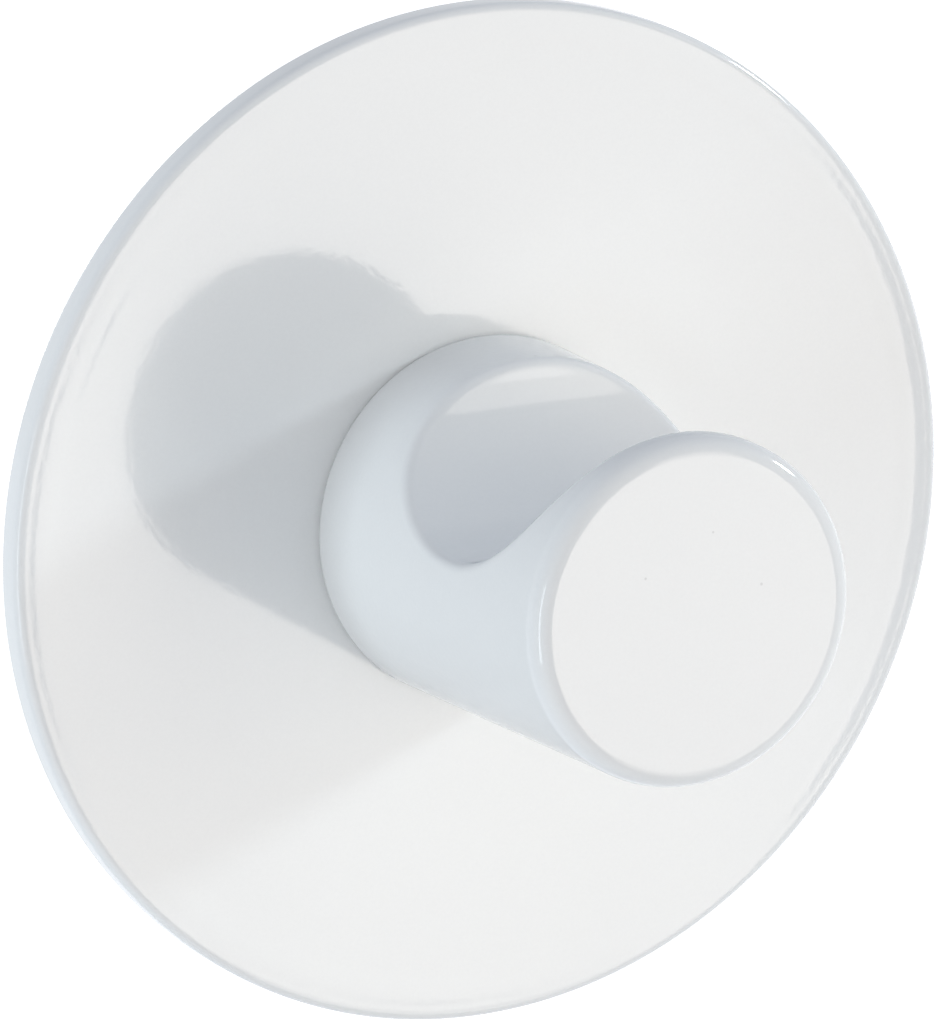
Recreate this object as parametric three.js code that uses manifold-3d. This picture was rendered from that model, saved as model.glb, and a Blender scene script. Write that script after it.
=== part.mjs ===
// Stick-on towel hook: a round lacquered wall plate, a turned peg with a saddle for the towel's loop,
// the countersunk screw that joins them from behind, and the pad that holds the plate on the wall.
// Millimetres. The wall is the plane y = 0, the hook stands out along -Y, and +Z is up.
import * as THREE from 'three';
import { mergeVertices } from 'three/addons/utils/BufferGeometryUtils.js';
import Module from 'manifold-3d';

// Adhesive pad
const padThickness = 0.6;
const padMargin = 0.1; // from the edge of the plate's flat back to the pad's edge

// Wall plate
const plateDiameter = 75;
const plateThickness = 2.2;
const plateFrontRound = 0.6;
const plateBackRound = 0.3;

// Peg, with its side straight and slightly tapered
const pegLength = 32;
const pegBaseDiameter = 26.7;
const pegHeadDiameter = 25.5; // where the side, carried on, would meet the front face
const pegFrontRound = 1.8;
const pegRearRound = 0.5;

// Saddle across the top of the peg
const saddleRadius = 10.7;
const saddleSetback = 18.5; // from the plate's face to the middle of the saddle
const saddleFloorHeight = 2.4; // from the peg's axis up to the lowest line of the saddle
const saddleEdgeRound = 0.6;

// Countersunk screw, and the hole for it
const screwDiameter = 4;
const screwLength = 10;
const screwHeadDiameter = 7.5;
const screwHeadRim = 0.2; // straight edge above the head's cone
const screwHeadRecess = 0.1; // from the plate's back down to the top of the head
const screwTipChamfer = 0.5;
const socketAcrossFlats = 2.5;
const socketDepth = 1.3;
const screwClearance = 0.15;
const tapRunout = 1.2; // hole beyond the screw's end
const drillTipAngle = 118;

// Two cast pips that stop the peg turning on the plate
const pipDiameter = 2.4;
const pipLength = 1.4;
const pipClearance = 0.15;

// Facets
const roundSegments = 96;
const screwSegments = 40;
const pipSegments = 24;
const roundSteps = 5;
const saddleSteps = 32;
const edgeStations = 80;
const edgeSteps = 3;
const finestEdge = 0.003; // shorter edges left by a cut are closed up

const plateBack = -padThickness;
const plateFace = plateBack - plateThickness;
const pegFront = plateFace - pegLength;
const overshoot = 1; // how far a cutting solid runs past the face that it opens

const wasm = await Module();
wasm.setup();

function toSolid(geometry) {
  const bare = geometry.clone();
  bare.deleteAttribute('normal');
  bare.deleteAttribute('uv');
  const merged = mergeVertices(bare);
  return new wasm.Manifold(new wasm.Mesh({
    numProp: 3,
    vertProperties: new Float32Array(merged.attributes.position.array),
    triVerts: new Uint32Array(merged.index.array),
  }));
}

function toGeometry(solid) {
  const mesh = solid.setTolerance(finestEdge).getMesh();
  const geometry = new THREE.BufferGeometry();
  geometry.setAttribute('position', new THREE.BufferAttribute(mesh.vertProperties, 3));
  geometry.setIndex(new THREE.BufferAttribute(mesh.triVerts, 1));
  const flat = geometry.toNonIndexed();
  flat.computeVertexNormals();
  return flat;
}

function point(radius, y) {
  return new THREE.Vector2(radius, y);
}

// Points of an arc in a half section, angles in degrees from the outward direction towards the wall
function arc(centre, radius, from, to, steps) {
  const points = [];
  for (let step = 0; step <= steps; step += 1) {
    const angle = THREE.MathUtils.degToRad(from + (to - from) * step / steps);
    points.push(point(centre.x + radius * Math.cos(angle), centre.y + radius * Math.sin(angle)));
  }
  return points;
}

// A half section is listed from the front towards the wall, and starts and ends on the axis
function turned(halfSection, segments) {
  return new THREE.LatheGeometry(halfSection, segments);
}

function padSection() {
  const radius = plateDiameter / 2 - plateBackRound - padMargin;
  return [point(0, plateBack), point(radius, plateBack), point(radius, 0), point(0, 0)];
}

function plateSection() {
  const radius = plateDiameter / 2;
  const frontCentre = point(radius - plateFrontRound, plateFace + plateFrontRound);
  const backCentre = point(radius - plateBackRound, plateBack - plateBackRound);
  return [
    point(0, plateFace),
    ...arc(frontCentre, plateFrontRound, -90, 0, roundSteps),
    ...arc(backCentre, plateBackRound, 0, 90, roundSteps),
    point(0, plateBack),
  ];
}

const pegTaper = Math.atan2((pegBaseDiameter - pegHeadDiameter) / 2, pegLength);

// Radius of the peg's side at a place along the axis
function pegRadius(y) {
  return pegHeadDiameter / 2 + (y - pegFront) * Math.tan(pegTaper);
}

function pegSection() {
  const taper = THREE.MathUtils.radToDeg(pegTaper);
  const frontY = pegFront + pegFrontRound;
  const rearY = plateFace - pegRearRound;
  const frontCentre = point(pegRadius(frontY) - pegFrontRound / Math.cos(pegTaper), frontY);
  const rearCentre = point(pegRadius(rearY) - pegRearRound / Math.cos(pegTaper), rearY);
  return [
    point(0, pegFront),
    ...arc(frontCentre, pegFrontRound, -90, -taper, roundSteps),
    ...arc(rearCentre, pegRearRound, -taper, 90, roundSteps),
    point(0, plateFace),
  ];
}

const saddleY = plateFace - saddleSetback;
const saddleCentreZ = saddleFloorHeight + saddleRadius;

// Solid that clears the saddle: a round floor with upright walls above it, right through the peg along X
function saddleCutter() {
  const top = Math.max(pegBaseDiameter / 2, saddleCentreZ) + overshoot;
  const outline = new THREE.Shape();
  outline.moveTo(saddleRadius, top);
  outline.lineTo(-saddleRadius, top);
  outline.lineTo(-saddleRadius, saddleCentreZ);
  outline.absarc(0, saddleCentreZ, saddleRadius, Math.PI, 2 * Math.PI, false);
  outline.closePath();
  const length = pegBaseDiameter + 2 * overshoot;
  const geometry = new THREE.ExtrudeGeometry(outline, {
    depth: length,
    bevelEnabled: false,
    curveSegments: saddleSteps,
  });
  geometry.translate(0, 0, -length / 2);
  geometry.rotateY(Math.PI / 2);
  geometry.rotateX(Math.PI / 2);
  geometry.translate(0, saddleY, 0);
  return geometry;
}

// Height of the saddle's surface at a place along the axis, or null past its walls
function saddleHeight(y) {
  const away = y - saddleY;
  if (Math.abs(away) >= saddleRadius) {
    return null;
  }
  return saddleCentreZ - Math.sqrt(saddleRadius ** 2 - away ** 2);
}

// Whether the saddle has taken away the top of the peg at this place, seen from above
function isOpenAbove(x, y) {
  const radius = pegRadius(y);
  const floor = saddleHeight(y);
  return floor !== null && Math.abs(x) < radius && floor < Math.sqrt(radius ** 2 - x ** 2);
}

// Point of the saddle's edge in one direction from the middle, seen from above
function saddleEdgePoint(turn) {
  const along = new THREE.Vector2(Math.sin(turn), Math.cos(turn));
  let inside = 0;
  let outside = pegBaseDiameter + saddleRadius;
  for (let halving = 0; halving < 48; halving += 1) {
    const middle = (inside + outside) / 2;
    if (isOpenAbove(along.x * middle, saddleY + along.y * middle)) {
      inside = middle;
    } else {
      outside = middle;
    }
  }
  const x = along.x * inside;
  const y = saddleY + along.y * inside;
  return new THREE.Vector3(x, y, saddleHeight(y));
}

// Outward normals of the peg's side and of the saddle's surface at a point of the edge
function edgeNormals(edge) {
  const side = new THREE.Vector3(edge.x, 0, edge.z).normalize().multiplyScalar(Math.cos(pegTaper));
  side.y = -Math.sin(pegTaper);
  const drop = Math.min(edge.z - saddleCentreZ, 0);
  const saddle = new THREE.Vector3(0, saddleY - edge.y, -drop).normalize();
  return { side, saddle };
}

// Ring of material outside the rounded edge of the saddle: its inner face is the round
function saddleEdgeCutter() {
  const positions = [];
  const indices = [];
  const lift = saddleEdgeRound / 2;
  for (let station = 0; station < edgeStations; station += 1) {
    const edge = saddleEdgePoint(2 * Math.PI * station / edgeStations);
    const { side, saddle } = edgeNormals(edge);
    const both = side.clone().add(saddle);
    const centre = edge.clone().addScaledVector(both, -saddleEdgeRound / (1 + side.dot(saddle)));
    const section = [];
    for (let step = 0; step <= edgeSteps; step += 1) {
      const normal = side.clone().lerp(saddle, step / edgeSteps).normalize();
      section.push(centre.clone().addScaledVector(normal, saddleEdgeRound));
    }
    section.push(section[edgeSteps].clone().addScaledVector(saddle, lift));
    section.push(edge.clone().addScaledVector(both, lift));
    section.push(section[0].clone().addScaledVector(side, lift));
    section.forEach((corner) => positions.push(corner.x, corner.y, corner.z));
  }
  const corners = positions.length / 3 / edgeStations;
  for (let station = 0; station < edgeStations; station += 1) {
    const next = (station + 1) % edgeStations;
    for (let corner = 0; corner < corners; corner += 1) {
      const after = (corner + 1) % corners;
      const a = station * corners + corner;
      const b = station * corners + after;
      const c = next * corners + after;
      const d = next * corners + corner;
      indices.push(a, c, b, a, d, c);
    }
  }
  const geometry = new THREE.BufferGeometry();
  geometry.setAttribute('position', new THREE.Float32BufferAttribute(positions, 3));
  geometry.setIndex(indices);
  return geometry;
}

const screwTop = plateBack - screwHeadRecess;
const screwTip = screwTop - screwLength;
const screwConeHeight = (screwHeadDiameter - screwDiameter) / 2; // a head of 90 degrees

function screwSection() {
  const radius = screwDiameter / 2;
  const headRadius = screwHeadDiameter / 2;
  const headEdge = screwTop - screwHeadRim;
  return [
    point(0, screwTip),
    point(radius - screwTipChamfer, screwTip),
    point(radius, screwTip + screwTipChamfer),
    point(radius, headEdge - screwConeHeight),
    point(headRadius, headEdge),
    point(headRadius, screwTop),
    point(0, screwTop),
  ];
}

// The space that the screw takes in the plate and the peg, with its clearance and the drilled end
function screwHoleSection() {
  const radius = screwDiameter / 2 + screwClearance;
  const headRadius = screwHeadDiameter / 2 + screwClearance;
  const headEdge = screwTop - screwHeadRim - screwClearance;
  const holeEnd = screwTip - tapRunout;
  const drillTip = radius / Math.tan(THREE.MathUtils.degToRad(drillTipAngle / 2));
  return [
    point(0, holeEnd - drillTip),
    point(radius, holeEnd),
    point(radius, headEdge - screwConeHeight),
    point(headRadius, headEdge),
    point(headRadius, plateBack + overshoot),
    point(0, plateBack + overshoot),
  ];
}

function socketCutter() {
  const cornerRadius = socketAcrossFlats / Math.sqrt(3);
  const geometry = new THREE.CylinderGeometry(cornerRadius, cornerRadius, socketDepth + overshoot, 6);
  geometry.translate(0, screwTop - socketDepth + (socketDepth + overshoot) / 2, 0);
  return geometry;
}

// The pips stand midway between the screw's head and the peg's edge, one on each side
const pipOffset = (screwHeadDiameter + pegBaseDiameter) / 4;

function pips(radius, front, back) {
  return [-pipOffset, pipOffset].map((x) => {
    const geometry = new THREE.CylinderGeometry(radius, radius, back - front, pipSegments);
    geometry.translate(x, (front + back) / 2, 0);
    return toSolid(geometry);
  });
}

function buildPlate() {
  const pipHoles = pips(pipDiameter / 2 + pipClearance, plateFace - overshoot, plateBack + overshoot);
  const blank = toSolid(turned(plateSection(), roundSegments));
  const screwHole = toSolid(turned(screwHoleSection(), screwSegments));
  return toGeometry(pipHoles.reduce((plate, hole) => plate.subtract(hole), blank.subtract(screwHole)));
}

function buildPeg() {
  const blank = toSolid(turned(pegSection(), roundSegments));
  const cut = blank
    .subtract(toSolid(saddleCutter()))
    .subtract(toSolid(saddleEdgeCutter()))
    .subtract(toSolid(turned(screwHoleSection(), screwSegments)));
  const pegPips = pips(pipDiameter / 2, plateFace - overshoot, plateFace + pipLength);
  return toGeometry(pegPips.reduce((peg, pip) => peg.add(pip), cut));
}

function buildScrew() {
  const blank = toSolid(turned(screwSection(), screwSegments));
  return toGeometry(blank.subtract(toSolid(socketCutter())));
}

function buildPad() {
  return turned(padSection(), roundSegments);
}

const whiteLacquer = { color: 0xecedea, roughness: 0.22, metalness: 0 };
const zincPlate = { color: 0xb4b6b8, roughness: 0.35, metalness: 1 };
const whiteFoam = { color: 0xe6e6e2, roughness: 0.85, metalness: 0 };

function piece(name, geometry, finish) {
  const mesh = new THREE.Mesh(geometry, new THREE.MeshStandardMaterial(finish));
  mesh.name = name;
  return mesh;
}

const towelHook = new THREE.Group();
towelHook.add(piece('wall_plate', buildPlate(), whiteLacquer));
towelHook.add(piece('hook_peg', buildPeg(), whiteLacquer));
towelHook.add(piece('fixing_screw', buildScrew(), zincPlate));
towelHook.add(piece('adhesive_pad', buildPad(), whiteFoam));

export default towelHook;
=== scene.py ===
import math

import bmesh
import bpy
import numpy as np
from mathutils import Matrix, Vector


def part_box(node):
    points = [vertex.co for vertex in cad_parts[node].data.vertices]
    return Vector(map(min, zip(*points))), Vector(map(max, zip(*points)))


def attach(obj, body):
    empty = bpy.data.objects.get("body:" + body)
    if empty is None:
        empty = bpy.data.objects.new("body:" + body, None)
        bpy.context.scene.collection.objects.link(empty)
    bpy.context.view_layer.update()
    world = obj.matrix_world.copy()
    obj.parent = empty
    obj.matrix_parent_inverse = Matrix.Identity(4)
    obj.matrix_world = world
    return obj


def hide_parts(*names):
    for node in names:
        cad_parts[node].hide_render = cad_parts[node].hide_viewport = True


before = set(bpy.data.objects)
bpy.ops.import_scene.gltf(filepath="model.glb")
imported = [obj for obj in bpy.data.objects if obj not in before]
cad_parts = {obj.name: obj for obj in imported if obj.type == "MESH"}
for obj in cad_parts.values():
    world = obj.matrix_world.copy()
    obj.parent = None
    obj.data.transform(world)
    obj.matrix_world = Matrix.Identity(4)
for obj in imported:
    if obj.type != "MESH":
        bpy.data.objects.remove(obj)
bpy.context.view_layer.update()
mm = 0.001
weldReach = 0.0005 * mm            # vertices closer than this become one
plateLow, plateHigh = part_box("wall_plate")
pegLow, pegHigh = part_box("hook_peg")
padLow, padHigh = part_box("adhesive_pad")
screwLow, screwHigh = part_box("fixing_screw")
plateFace = plateLow.y
plateBack = plateHigh.y
facingOut = (math.pi / 2, 0, 0)    # turns a primitive's own Z to point away from the wall
print("frame loaded:", ", ".join(sorted(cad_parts)))


# small helpers for modelling by operators

def deselectAll():
    bpy.ops.object.select_all(action="DESELECT")


def nameNew(name):
    piece = bpy.context.object
    piece.name = name
    piece.data.name = name
    bpy.ops.object.transform_apply(location=True, rotation=True, scale=True)
    return piece


def addRod(name, radius, front, back, sides):
    # solid round bar along Y
    deselectAll()
    bpy.ops.mesh.primitive_cylinder_add(vertices=sides, radius=radius, depth=back - front,
                                        location=(0, (front + back) / 2, 0), rotation=facingOut)
    return nameNew(name)


def openMesh(piece):
    deselectAll()
    piece.select_set(True)
    bpy.context.view_layer.objects.active = piece
    bpy.ops.object.mode_set(mode="EDIT")
    bpy.ops.mesh.select_all(action="DESELECT")
    return bmesh.from_edit_mesh(piece.data)


def closeMesh():
    bpy.ops.object.mode_set(mode="OBJECT")


def pick(piece, cage, kind, test):
    # selects the vertices, edges or faces whose middle passes the test
    for part in getattr(cage, kind):
        if kind == "verts":
            middle = part.co
        elif kind == "edges":
            middle = (part.verts[0].co + part.verts[1].co) / 2
        else:
            middle = part.calc_center_median()
        if test(middle, part):
            part.select_set(True)
    cage.select_flush_mode()
    bmesh.update_edit_mesh(piece.data)


def selectMode(kind):
    bpy.ops.mesh.select_mode(type=kind)


def applyModifier(piece, kind, **settings):
    modifier = piece.modifiers.new(kind.lower(), kind)
    for setting, value in settings.items():
        setattr(modifier, setting, value)
    deselectAll()
    piece.select_set(True)
    bpy.context.view_layer.objects.active = piece
    bpy.ops.object.modifier_apply(modifier=modifier.name)


def cut(piece, tool, operation="DIFFERENCE"):
    applyModifier(piece, "BOOLEAN", object=tool, operation=operation, solver="EXACT")
    bpy.data.objects.remove(tool)


def smoothShade(piece, angle=40):
    deselectAll()
    piece.select_set(True)
    bpy.context.view_layer.objects.active = piece
    bpy.ops.object.shade_smooth_by_angle(angle=math.radians(angle))


def faceOutwards(piece):
    openMesh(piece)
    bpy.ops.mesh.select_all(action="SELECT")
    bpy.ops.mesh.remove_doubles(threshold=weldReach)
    bpy.ops.mesh.delete_loose()
    bpy.ops.mesh.select_all(action="SELECT")
    bpy.ops.mesh.normals_make_consistent(inside=False)
    closeMesh()


def place(piece, node, finish):
    piece.data.materials.clear()
    piece.data.materials.append(finish)
    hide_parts(node)
    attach(piece, "root")
    print(piece.name, "made,", len(piece.data.polygons), "faces")


# shader maths: a wrapped socket, whose operators add Math nodes

class Wire:
    def __init__(self, bench, socket):
        self.bench = bench
        self.socket = socket

    def maths(self, operation, first, second):
        return self.bench.node("ShaderNodeMath", {"operation": operation}, {0: first, 1: second})

    def __add__(self, other):
        return self.maths("ADD", self, other)

    def __radd__(self, other):
        return self.maths("ADD", other, self)

    def __sub__(self, other):
        return self.maths("SUBTRACT", self, other)

    def __rsub__(self, other):
        return self.maths("SUBTRACT", other, self)

    def __mul__(self, other):
        return self.maths("MULTIPLY", self, other)

    def __rmul__(self, other):
        return self.maths("MULTIPLY", other, self)

    def __gt__(self, other):
        return self.maths("GREATER_THAN", self, other)

    def __lt__(self, other):
        return self.maths("LESS_THAN", self, other)


class Bench:
    def __init__(self, tree):
        self.tree = tree
        tree.nodes.clear()

    def node(self, kind, settings=None, sockets=None, out=0):
        made = self.tree.nodes.new(kind)
        for setting, value in (settings or {}).items():
            setattr(made, setting, value)
        for key, value in (sockets or {}).items():
            if isinstance(value, Wire):
                self.tree.links.new(value.socket, made.inputs[key])
            else:
                made.inputs[key].default_value = value
        return Wire(self, made.outputs[out]) if len(made.outputs) else None

    def mixColour(self, factor, first, second):
        return self.node("ShaderNodeMix", {"data_type": "RGBA"}, {0: factor, 6: first, 7: second}, out=2)


noiseMiddle = 0.5    # a noise texture's middle value


def newFinish(name):
    material = bpy.data.materials.new(name)
    material.use_nodes = True
    return material, Bench(material.node_tree)


# white gloss lacquer, with a faint orange peel, mottling and a few specks

lacquerLook = {
    "white": (0.825, 0.83, 0.82, 1),
    "paler": (0.88, 0.885, 0.87, 1),
    "mottleScale": 60,        # cloudiness about 15 mm across
    "peelScale": 1900,        # ripples about 0.5 mm across
    "peelHeight": 0.005 * mm,
    "grainScale": 4200,
    "grainShare": 0.06,
    "roughness": 0.075,
    "roughnessSwing": 0.02,
    "index": 1.5,
    "speckScale": 190,        # about one place for a speck every 5 mm
    "speckSize": 0.022,
    "speckChance": 0.3,       # share of those places that have one
    "speckStrength": 0.35,
    "speckColour": (0.5, 0.5, 0.49, 1),
}


def whiteLacquer(name, look):
    finish, bench = newFinish(name)
    here = bench.node("ShaderNodeTexCoord", out="Object")
    mottle = bench.node("ShaderNodeTexNoise", None,
                        {"Vector": here, "Scale": look["mottleScale"], "Detail": 3})
    peel = bench.node("ShaderNodeTexNoise", None,
                      {"Vector": here, "Scale": look["peelScale"], "Detail": 1, "Roughness": 0.4})
    grain = bench.node("ShaderNodeTexNoise", None,
                       {"Vector": here, "Scale": look["grainScale"], "Detail": 1})
    speckPlace = bench.node("ShaderNodeTexVoronoi", {"feature": "F1"},
                            {"Vector": here, "Scale": look["speckScale"]}, out="Distance")
    speckDraw = bench.node("ShaderNodeTexVoronoi", {"feature": "F1"},
                           {"Vector": here, "Scale": look["speckScale"]}, out="Color")
    chance = bench.node("ShaderNodeSeparateColor", None, {"Color": speckDraw}, out=0)
    speck = (speckPlace < look["speckSize"]) * (chance < look["speckChance"])
    colour = bench.mixColour((mottle + grain) * 0.5, look["white"], look["paler"])
    colour = bench.mixColour(speck * look["speckStrength"], colour, look["speckColour"])
    roughness = look["roughness"] + (mottle - noiseMiddle) * look["roughnessSwing"]
    bump = bench.node("ShaderNodeBump", None,
                      {"Height": peel + grain * look["grainShare"], "Strength": 1.0,
                       "Distance": look["peelHeight"]})
    shader = bench.node("ShaderNodeBsdfPrincipled", None,
                        {"Base Color": colour, "Roughness": roughness, "IOR": look["index"],
                         "Normal": bump})
    bench.node("ShaderNodeOutputMaterial", None, {"Surface": shader})
    return finish


# zinc plating, bright, with fine turning marks

zincLook = {
    "bright": (0.72, 0.73, 0.74, 1),
    "dull": (0.55, 0.56, 0.58, 1),
    "cloudScale": 500,
    "roughness": 0.28,
    "roughnessSwing": 0.2,
    "grainScale": 6000,
    "grainHeight": 0.004 * mm,
}


def zincPlating(name, look):
    finish, bench = newFinish(name)
    here = bench.node("ShaderNodeTexCoord", out="Object")
    cloud = bench.node("ShaderNodeTexNoise", None,
                       {"Vector": here, "Scale": look["cloudScale"], "Detail": 4})
    grain = bench.node("ShaderNodeTexNoise", None,
                       {"Vector": here, "Scale": look["grainScale"], "Detail": 2})
    colour = bench.mixColour(cloud, look["dull"], look["bright"])
    bump = bench.node("ShaderNodeBump", None,
                      {"Height": grain, "Strength": 1.0, "Distance": look["grainHeight"]})
    shader = bench.node("ShaderNodeBsdfPrincipled", None,
                        {"Base Color": colour, "Metallic": 1.0, "Normal": bump,
                         "Roughness": look["roughness"] + (cloud - noiseMiddle) * look["roughnessSwing"]})
    bench.node("ShaderNodeOutputMaterial", None, {"Surface": shader})
    return finish


# closed-cell foam with its tacky film

foamLook = {
    "foam": (0.80, 0.80, 0.77, 1),
    # hollowShade is painted shade: a darker colour laid into the foam's cell hollows
    "hollowShade": (0.70, 0.70, 0.67, 1),
    "cellScale": 3200,        # cells about 0.3 mm across
    "cellHeight": 0.05 * mm,
    "cellStrength": 0.6,
    # cellShare is the part of the colour's change that is painted shade in the cell hollows
    "cellShare": 0.6,         # of the colour's change, with the cloudiness as the rest
    "cloudScale": 90,
    "roughness": 0.62,
    "roughnessSwing": 0.3,
}


def whiteFoam(name, look):
    finish, bench = newFinish(name)
    here = bench.node("ShaderNodeTexCoord", out="Object")
    cells = bench.node("ShaderNodeTexVoronoi", {"feature": "F1"},
                       {"Vector": here, "Scale": look["cellScale"]}, out="Distance")
    cloud = bench.node("ShaderNodeTexNoise", None,
                       {"Vector": here, "Scale": look["cloudScale"], "Detail": 3})
    # darker where the cells dip, which is painted shade in the hollows; the cloud part is real mottling of
    # the foam
    pale = cells * look["cellShare"] + cloud * (1 - look["cellShare"])
    colour = bench.mixColour(pale, look["hollowShade"], look["foam"])
    bump = bench.node("ShaderNodeBump", None,
                      {"Height": cells, "Strength": look["cellStrength"], "Distance": look["cellHeight"]})
    shader = bench.node("ShaderNodeBsdfPrincipled", None,
                        {"Base Color": colour, "Normal": bump,
                         "Roughness": look["roughness"] + (cloud - noiseMiddle) * look["roughnessSwing"]})
    bench.node("ShaderNodeOutputMaterial", None, {"Surface": shader})
    return finish


# screw hole and pip holes: the same tools cut the plate and the peg

fixing = {
    "holeRadius": 2.15 * mm,
    "headHoleRadius": 3.9 * mm,
    "headHoleDepth": 0.4 * mm,    # straight part above the countersink
    "holeEnd": -11.9 * mm,
    "pipOffset": 8.55 * mm,
    "pipRadius": 1.2 * mm,
    "pipGap": 0.15 * mm,
    "pipLength": 1.4 * mm,
    "sides": 64,
    "pipSides": 32,
    "past": 1.0 * mm,             # how far a cutting tool runs past a face
}


def screwHoleTool():
    sides = fixing["sides"]
    pastBack = plateBack + fixing["past"]
    tool = addRod("screwHoleTool", fixing["holeRadius"], fixing["holeEnd"], pastBack, sides)
    coneEnd = plateBack - fixing["headHoleDepth"]
    coneHeight = fixing["headHoleRadius"] - fixing["holeRadius"]
    deselectAll()
    bpy.ops.mesh.primitive_cone_add(vertices=sides, radius1=fixing["headHoleRadius"],
                                    radius2=fixing["holeRadius"], depth=coneHeight,
                                    location=(0, coneEnd - coneHeight / 2, 0), rotation=facingOut)
    sink = nameNew("sinkTool")
    head = addRod("headTool", fixing["headHoleRadius"], coneEnd, pastBack, sides)
    cut(sink, head, "UNION")
    cut(tool, sink, "UNION")
    return tool


def pipTools(radius, front, back):
    tools = []
    for side in (-1, 1):
        tool = addRod("pipTool", radius, front, back, fixing["pipSides"])
        openMesh(tool)
        bpy.ops.mesh.select_all(action="SELECT")
        bpy.ops.transform.translate(value=(side * fixing["pipOffset"], 0, 0))
        closeMesh()
        tools.append(tool)
    return tools


# wall plate: a thin round disc with rounded rims

plateForm = {
    "sides": 288,
    "frontRound": 0.6 * mm,
    "backRound": 0.3 * mm,
    "roundSteps": 7,
    "ridgeHeight": 0.045 * mm,   # lacquer stands a little thicker along the rim
    "ridgeWidth": 3.0 * mm,
    "ridgeRings": 10,
}


def rimEdge(radius, y):
    # test for the edges of a rim: on that radius and at that place along the axis
    reach = 0.02 * mm

    def onRim(middle, edge):
        ends = [vert.co for vert in edge.verts]
        return all(abs(end.y - y) < reach and abs(math.hypot(end.x, end.z) - radius) < reach
                   for end in ends)

    return onRim


def flatFace(y, side):
    # test for the faces at that place along the axis that look straight out (-1) or to the wall (1)
    reach = 0.001 * mm
    straight = 0.9999

    def onFace(middle, face):
        return abs(middle.y - y) < reach and face.normal.y * side > straight

    return onFace


def buildPlate(finish):
    radius = plateHigh.x
    piece = addRod("wallPlate", radius, plateFace, plateBack, plateForm["sides"])
    for y, size in ((plateFace, plateForm["frontRound"]), (plateBack, plateForm["backRound"])):
        cage = openMesh(piece)
        selectMode("EDGE")
        pick(piece, cage, "edges", rimEdge(radius, y))
        bpy.ops.mesh.bevel(offset=size, segments=plateForm["roundSteps"], profile=0.5, affect="EDGES")
        closeMesh()
    cage = openMesh(piece)
    selectMode("FACE")
    pick(piece, cage, "faces", flatFace(plateFace, -1))
    step = plateForm["ridgeWidth"] / plateForm["ridgeRings"]
    height = 0
    for ring in range(plateForm["ridgeRings"]):
        share = (ring + 1) / plateForm["ridgeRings"]
        nextHeight = plateForm["ridgeHeight"] * math.sin(math.pi * share) ** 2
        bpy.ops.mesh.inset(thickness=step, depth=nextHeight - height)
        height = nextHeight
    bpy.ops.mesh.inset(thickness=step, depth=0)
    bpy.ops.mesh.select_all(action="DESELECT")
    pick(piece, bmesh.from_edit_mesh(piece.data), "faces", flatFace(plateBack, 1))
    bpy.ops.mesh.inset(thickness=step, depth=0)
    closeMesh()
    cut(piece, screwHoleTool())
    for tool in pipTools(fixing["pipRadius"] + fixing["pipGap"], plateFace - fixing["past"],
                         plateBack + fixing["past"]):
        cut(piece, tool)
    faceOutwards(piece)
    smoothShade(piece)
    place(piece, "wall_plate", finish)


# peg: a tapered bar with a soft front edge, and a round saddle cut across its top

pegForm = {
    "headRadius": 12.75 * mm,     # where the side, carried on, meets the front face
    "frontRound": 1.35 * mm,      # the solid has 1.8 mm, but the photograph shows a narrower one
    "rearRound": 0.5 * mm,
    "saddleRadius": 10.7 * mm,
    "saddleSetback": 18.5 * mm,   # from the plate's face to the saddle's middle
    "saddleFloor": 2.4 * mm,      # above the peg's axis
    "saddleRound": 0.6 * mm,
    "sides": 256,
    "quad": 0.25 * mm,
    "settlePasses": 4,
    "relaxRounds": 3,
    "relaxShare": 0.5,
    "relaxRepeats": 2,
}
pegFront = pegLow.y
pegRadius = pegHigh.x
pegLength = plateFace - pegFront
pegSlope = (pegRadius - pegForm["headRadius"]) / pegLength
saddleY = plateFace - pegForm["saddleSetback"]
saddleZ = pegForm["saddleFloor"] + pegForm["saddleRadius"]


def roundedCorner(first, second, radius):
    # two distances met in a corner of that radius, as when a ball is rolled along it
    inside = np.minimum(np.maximum(first, second), -radius)
    return inside + np.hypot(np.maximum(first + radius, 0), np.maximum(second + radius, 0))


def pegDistance(points):
    x, y, z = points.T
    sideRadius = pegForm["headRadius"] + (y - pegFront) * pegSlope
    sideways = (np.hypot(x, z) - sideRadius) / math.hypot(1, pegSlope)
    bar = roundedCorner(sideways, pegFront - y, pegForm["frontRound"])
    bar = roundedCorner(bar, y - plateFace, pegForm["rearRound"])
    saddle = pegForm["saddleRadius"] - np.hypot(y - saddleY, np.minimum(z - saddleZ, 0))
    return roundedCorner(bar, saddle, pegForm["saddleRound"])


def settle(piece, distance, passes):
    # moves every vertex onto the surface where the distance is zero
    count = len(piece.data.vertices)
    points = np.empty(count * 3)
    piece.data.vertices.foreach_get("co", points)
    points = points.reshape(-1, 3)
    probe = 0.002 * mm
    leastSlope = 0.1    # keeps a step short where the distance hardly changes
    for _ in range(passes):
        away = distance(points)
        rises = [distance(points + probe * axis) - distance(points - probe * axis) for axis in np.eye(3)]
        slopes = np.stack(rises, axis=1) / (2 * probe)
        steps = away / np.maximum((slopes ** 2).sum(axis=1), leastSlope)
        points = points - steps[:, None] * slopes
    piece.data.vertices.foreach_set("co", points.ravel())
    piece.data.update()


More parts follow.
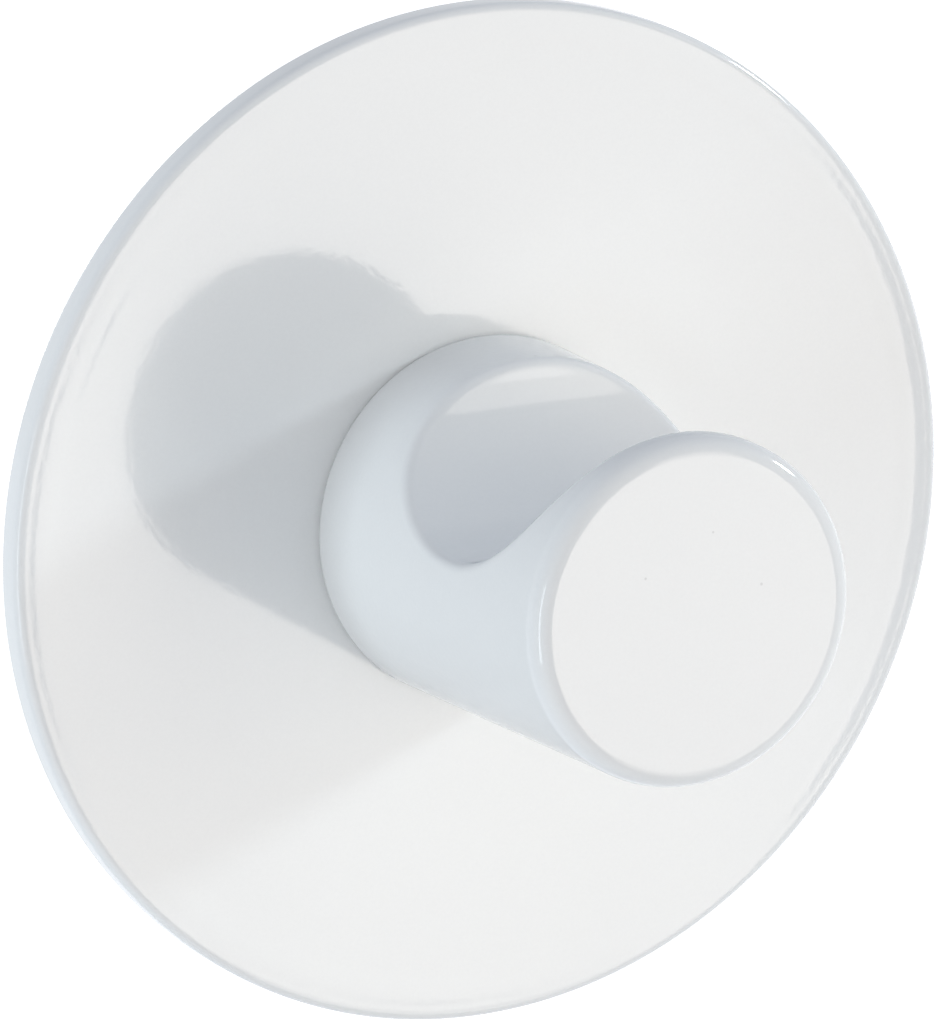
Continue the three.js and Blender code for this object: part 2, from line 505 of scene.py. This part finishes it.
def buildPeg(finish):
    piece = addRod("hookPeg", pegRadius, pegFront, plateFace, pegForm["sides"])
    cage = openMesh(piece)
    selectMode("VERT")
    pick(piece, cage, "verts", lambda spot, vert: spot.y < pegFront + mm)
    shrink = pegForm["headRadius"] / pegRadius
    bpy.ops.transform.resize(value=(shrink, 1, shrink), center_override=(0, pegFront, 0))
    closeMesh()
    deselectAll()
    bpy.ops.mesh.primitive_cylinder_add(vertices=pegForm["sides"], radius=pegForm["saddleRadius"],
                                        depth=3 * pegRadius, location=(0, saddleY, saddleZ),
                                        rotation=(0, math.pi / 2, 0))
    cut(piece, nameNew("saddleTool"))
    applyModifier(piece, "REMESH", mode="VOXEL", voxel_size=pegForm["quad"])
    for relax in range(pegForm["relaxRounds"]):    # evens out the quads
        settle(piece, pegDistance, pegForm["settlePasses"])
        openMesh(piece)
        bpy.ops.mesh.select_all(action="SELECT")
        bpy.ops.mesh.vertices_smooth(factor=pegForm["relaxShare"], repeat=pegForm["relaxRepeats"])
        closeMesh()
    settle(piece, pegDistance, pegForm["settlePasses"])
    cut(piece, screwHoleTool())
    for tool in pipTools(fixing["pipRadius"], plateFace - fixing["past"], plateFace + fixing["pipLength"]):
        cut(piece, tool, "UNION")
    faceOutwards(piece)
    smoothShade(piece)
    place(piece, "hook_peg", finish)


# screw: countersunk head with a hexagon socket, and a cut thread

screwForm = {
    "radius": 2.0 * mm,
    "rootRadius": 1.62 * mm,
    "pitch": 0.7 * mm,
    "headRadius": 3.75 * mm,
    "headRim": 0.2 * mm,
    "socketRadius": 1.4434 * mm,   # corners of a hexagon 2.5 mm across flats
    "socketDepth": 1.3 * mm,
    "tipChamfer": 0.5 * mm,
    "plainShank": 0.6 * mm,        # between the head's cone and the thread
    "rootFlat": 0.2,               # the thread's outline, in shares of the pitch
    "frontFlank": 0.3,
    "crestFlat": 0.15,
    "rearFlank": 0.35,
    "spareTurns": 2,               # wound past each end and trimmed off
    "spareLength": 0.25 * mm,      # left beyond the blank, which cuts it to length
    "blankExtra": 0.02 * mm,       # keeps the blank's wall clear of the thread's crest
    "overlap": 0.05 * mm,          # of the shank with the thread and the head
    "rimRoundShare": 1 / 3,        # of the head's rim
    "creaseAngle": 30,
    "sides": 48,
}


def threadRod(front, back):
    # one pitch of the thread's outline, drawn point by point and wound round the axis
    pitch = screwForm["pitch"]
    rise = screwForm["radius"] - screwForm["rootRadius"]
    steps = ((0, screwForm["rootFlat"]), (rise, screwForm["frontFlank"]),
             (0, screwForm["crestFlat"]), (-rise, screwForm["rearFlank"]))
    deselectAll()
    start = front - screwForm["spareTurns"] * pitch
    bpy.ops.mesh.primitive_plane_add(size=mm, location=(screwForm["rootRadius"], start, 0))
    rod = nameNew("threadRod")
    openMesh(rod)
    selectMode("VERT")
    bpy.ops.mesh.select_all(action="SELECT")
    bpy.ops.mesh.merge(type="CENTER")
    for outwards, along in steps:
        bpy.ops.mesh.extrude_region_move(TRANSFORM_OT_translate={"value": (outwards, along * pitch, 0)})
    closeMesh()
    turns = math.ceil((back - front) / pitch) + 2 * screwForm["spareTurns"]
    applyModifier(rod, "SCREW", axis="Y", angle=2 * math.pi, steps=screwForm["sides"],
                  render_steps=screwForm["sides"], screw_offset=pitch, iterations=turns,
                  use_merge_vertices=True, merge_threshold=weldReach)
    faceOutwards(rod)                   # welds each turn to the next
    for y, normal in ((front - screwForm["spareLength"], -1), (back, 1)):
        openMesh(rod)
        bpy.ops.mesh.select_all(action="SELECT")
        bpy.ops.mesh.bisect(plane_co=(0, y, 0), plane_no=(0, normal, 0), clear_outer=True)
        bpy.ops.mesh.select_all(action="SELECT")
        bpy.ops.mesh.fill_holes(sides=0)
        closeMesh()
    faceOutwards(rod)
    return rod


def buildScrew(finish):
    tip, top = screwLow.y, screwHigh.y
    headEdge = top - screwForm["headRim"]
    neck = headEdge - (screwForm["headRadius"] - screwForm["radius"])
    threadEnd = neck - screwForm["plainShank"]
    blankRadius = screwForm["radius"] + screwForm["blankExtra"]
    piece = addRod("fixingScrew", blankRadius, tip, threadEnd, screwForm["sides"])
    cage = openMesh(piece)
    selectMode("EDGE")
    pick(piece, cage, "edges", rimEdge(blankRadius, tip))
    bpy.ops.mesh.bevel(offset=screwForm["tipChamfer"], segments=1, affect="EDGES")
    closeMesh()
    cut(piece, threadRod(tip, threadEnd + screwForm["spareLength"]), "INTERSECT")
    overlap = screwForm["overlap"]
    shank = addRod("shank", screwForm["radius"], threadEnd - overlap, neck + overlap, screwForm["sides"])
    cut(piece, shank, "UNION")
    deselectAll()
    bpy.ops.mesh.primitive_cone_add(vertices=2 * screwForm["sides"], radius1=screwForm["headRadius"],
                                    radius2=screwForm["radius"], depth=headEdge - neck,
                                    location=(0, (headEdge + neck) / 2, 0), rotation=facingOut)
    head = nameNew("screwHead")
    cage = openMesh(head)
    selectMode("FACE")
    pick(head, cage, "faces", flatFace(headEdge, 1))
    bpy.ops.mesh.extrude_region_move(TRANSFORM_OT_translate={"value": (0, screwForm["headRim"], 0)})
    rimRound = screwForm["headRim"] * screwForm["rimRoundShare"]
    bpy.ops.mesh.bevel(offset=rimRound, segments=2, affect="EDGES")
    closeMesh()
    cut(piece, head, "UNION")
    socket = addRod("socketTool", screwForm["socketRadius"], top - screwForm["socketDepth"], top + mm, 6)
    cut(piece, socket)
    faceOutwards(piece)
    smoothShade(piece, screwForm["creaseAngle"])
    place(piece, "fixing_screw", finish)


# pad: thin foam disc, its cut edge a little drawn in and its back slightly uneven

padForm = {
    "sides": 192,
    "edgeRound": 0.12 * mm,
    "roundSteps": 3,
    "rings": 26,
    "ringsLeft": 2,           # steps that stay flat in the middle
    "uneven": 0.02 * mm,
    "unevenSize": 5 * mm,
}


def buildPad(finish):
    radius = padHigh.x
    back = padHigh.y - padForm["uneven"]
    step = radius / (padForm["rings"] + padForm["ringsLeft"])
    piece = addRod("adhesivePad", radius, padLow.y, back, padForm["sides"])
    cage = openMesh(piece)
    selectMode("EDGE")
    for y in (padLow.y, back):
        pick(piece, cage, "edges", rimEdge(radius, y))
    bpy.ops.mesh.bevel(offset=padForm["edgeRound"], segments=padForm["roundSteps"], affect="EDGES")
    bpy.ops.mesh.select_all(action="DESELECT")
    selectMode("FACE")
    pick(piece, bmesh.from_edit_mesh(piece.data), "faces", flatFace(back, 1))
    for ring in range(padForm["rings"]):
        bpy.ops.mesh.inset(thickness=step, depth=0)
    closeMesh()
    lumps = bpy.data.textures.new("padLumps", "CLOUDS")
    lumps.noise_scale = padForm["unevenSize"]
    applyModifier(piece, "DISPLACE", texture=lumps, texture_coords="GLOBAL", direction="Y",
                  strength=padForm["uneven"], mid_level=0.5)
    faceOutwards(piece)
    smoothShade(piece)
    place(piece, "adhesive_pad", finish)


buildPlate(whiteLacquer("plateLacquer", lacquerLook))
buildPeg(whiteLacquer("pegLacquer", lacquerLook))
buildScrew(zincPlating("screwZinc", zincLook))
buildPad(whiteFoam("padFoam", foamLook))


# camera at the photograph's angle, and far off, because its lines hardly converge

view = {
    "azimuth": -28,
    "elevation": 14.5,
    "distance": 1.5,
    "pixelsPerMm": 13.9,        # at the origin
    "frameHeight": 1024,
    "originPixel": (463, 506),
    "middlePixel": (467, 512),
    "sensor": 36,
    "farthest": 100,
}


def direction(azimuth, elevation):
    turn, rise = math.radians(azimuth), math.radians(elevation)
    return Vector((math.sin(turn) * math.cos(rise), -math.cos(turn) * math.cos(rise), math.sin(rise)))


def aim(thing, back):
    thing.rotation_mode = "QUATERNION"
    thing.rotation_quaternion = (-back).to_track_quat("-Z", "Y")


def buildCamera():
    back = direction(view["azimuth"], view["elevation"])
    data = bpy.data.cameras.new("photoCamera")
    data.sensor_width = view["sensor"]
    data.lens = view["pixelsPerMm"] * view["distance"] / mm * view["sensor"] / view["frameHeight"]
    data.clip_end = view["farthest"]
    camera = bpy.data.objects.new("photoCamera", data)
    bpy.context.scene.collection.objects.link(camera)
    aim(camera, back)
    across = camera.rotation_quaternion @ Vector((1, 0, 0))
    upwards = camera.rotation_quaternion @ Vector((0, 1, 0))
    right = (view["middlePixel"][0] - view["originPixel"][0]) / view["pixelsPerMm"] * mm
    down = (view["middlePixel"][1] - view["originPixel"][1]) / view["pixelsPerMm"] * mm
    camera.location = back * view["distance"] + across * right - upwards * down
    bpy.context.scene.camera = camera
    print("camera set, lens", round(data.lens), "mm")


# lamps: a warm softbox whose reflection fills the plate, dimmer at its top and foot, a low side light that
# throws the peg's shadow, two cool fills on the left and a plain one behind; leftFill isn't mirrored,
# because it would draw a second line along the head's edge

warm = (1.0, 0.92, 0.83)
cool = (0.78, 0.89, 0.97)
plain = (1.0, 1.0, 1.0)
lamps = {
    "frontSoftbox": {"azimuth": 27, "elevation": -12, "distance": 0.8, "width": 0.2, "height": 0.3,
                     "radiance": 2.86, "colour": warm},
    "softboxTop": {"azimuth": 27, "elevation": 7, "distance": 0.8, "width": 0.2, "height": 0.24,
                   "radiance": 1.6, "colour": warm},
    "softboxFoot": {"azimuth": 27, "elevation": -30, "distance": 0.8, "width": 0.2, "height": 0.2,
                    "radiance": 1.5, "colour": warm},
    "sideLight": {"azimuth": 75, "elevation": 21, "distance": 1.0, "width": 0.12, "height": 0.12,
                  "radiance": 66, "colour": cool},
    "edgeFill": {"azimuth": -48, "elevation": -10, "distance": 0.8, "width": 0.14, "height": 0.46,
                 "radiance": 3.7, "colour": cool},
    "leftFill": {"azimuth": -95, "elevation": 6, "distance": 0.8, "width": 0.2, "height": 0.5,
                 "radiance": 5.2, "colour": cool, "mirrored": False},
    "backFill": {"azimuth": 180, "elevation": 8, "distance": 1.0, "width": 0.4, "height": 0.4,
                 "radiance": 4.0, "colour": plain},
}


def buildLamps():
    for name, lamp in lamps.items():
        data = bpy.data.lights.new(name, "AREA")
        data.shape = "RECTANGLE"
        data.size = lamp["width"]
        data.size_y = lamp["height"]
        area = lamp["width"] * lamp["height"]
        data.energy = 4 * lamp["radiance"] * area    # an area lamp's radiance is energy / (4 * area)
        data.color = lamp["colour"]
        holder = bpy.data.objects.new(name, data)
        bpy.context.scene.collection.objects.link(holder)
        back = direction(lamp["azimuth"], lamp["elevation"])
        holder.location = back * lamp["distance"]
        aim(holder, back)
        holder.visible_camera = False
        holder.visible_glossy = lamp.get("mirrored", True)
    print("lamps set:", ", ".join(lamps))


# pale floor well below the hook, which is at wall height, and a white surround

surround = {
    "floorDrop": 0.6,
    "floorSize": 40,
    "floorColour": (0.8, 0.8, 0.8, 1),
    "floorLift": 0.9,                       # glow where it is seen or mirrored, so that it reads as white
    "roomStrength": 1.64,
    "roomBelow": (1.0, 0.92, 0.77, 1),      # the room's colour runs evenly from straight below
    "roomAbove": (0.07, 0.1, 0.17, 1),      # to straight above, so little light comes from the top
    "backdrop": (1, 1, 1, 1),               # in place of the room where it is seen or mirrored
}


def seenOrMirrored(bench):
    # 1 for the camera's own rays and those that gloss or glass sends on, 0 for diffuse light
    sees = [bench.node("ShaderNodeLightPath", out=kind)
            for kind in ("Is Camera Ray", "Is Glossy Ray", "Is Transmission Ray")]
    return sees[0] + sees[1] + sees[2]


def buildSurround():
    deselectAll()
    bpy.ops.mesh.primitive_plane_add(size=surround["floorSize"], location=(0, 0, -surround["floorDrop"]))
    floor = nameNew("floor")
    finish, bench = newFinish("paleFloor")
    plain = bench.node("ShaderNodeBsdfDiffuse", None, {"Color": surround["floorColour"]})
    glow = seenOrMirrored(bench) * surround["floorLift"]
    lift = bench.node("ShaderNodeEmission", None, {"Color": surround["backdrop"], "Strength": glow})
    both = bench.node("ShaderNodeAddShader", None, {0: plain, 1: lift})
    bench.node("ShaderNodeOutputMaterial", None, {"Surface": both})
    floor.data.materials.append(finish)
    world = bpy.data.worlds.new("studio")
    world.use_nodes = True
    bpy.context.scene.world = world
    bench = Bench(world.node_tree)
    skyward = bench.node("ShaderNodeTexCoord", out="Generated")
    height = bench.node("ShaderNodeSeparateXYZ", None, {"Vector": skyward}, out="Z")
    rise = height * 0.5 + 0.5    # from -1 to 1, made 0 to 1
    shade = bench.mixColour(rise, surround["roomBelow"], surround["roomAbove"])
    room = bench.node("ShaderNodeBackground", None, {"Color": shade, "Strength": surround["roomStrength"]})
    white = bench.node("ShaderNodeBackground", None, {"Color": surround["backdrop"], "Strength": 1.0})
    mixed = bench.node("ShaderNodeMixShader", None, {0: seenOrMirrored(bench), 1: room, 2: white})
    bench.node("ShaderNodeOutputWorld", None, {"Surface": mixed})
    print("floor and surround set")


buildCamera()
buildLamps()
buildSurround()
bpy.context.scene.view_settings.view_transform = "Standard"
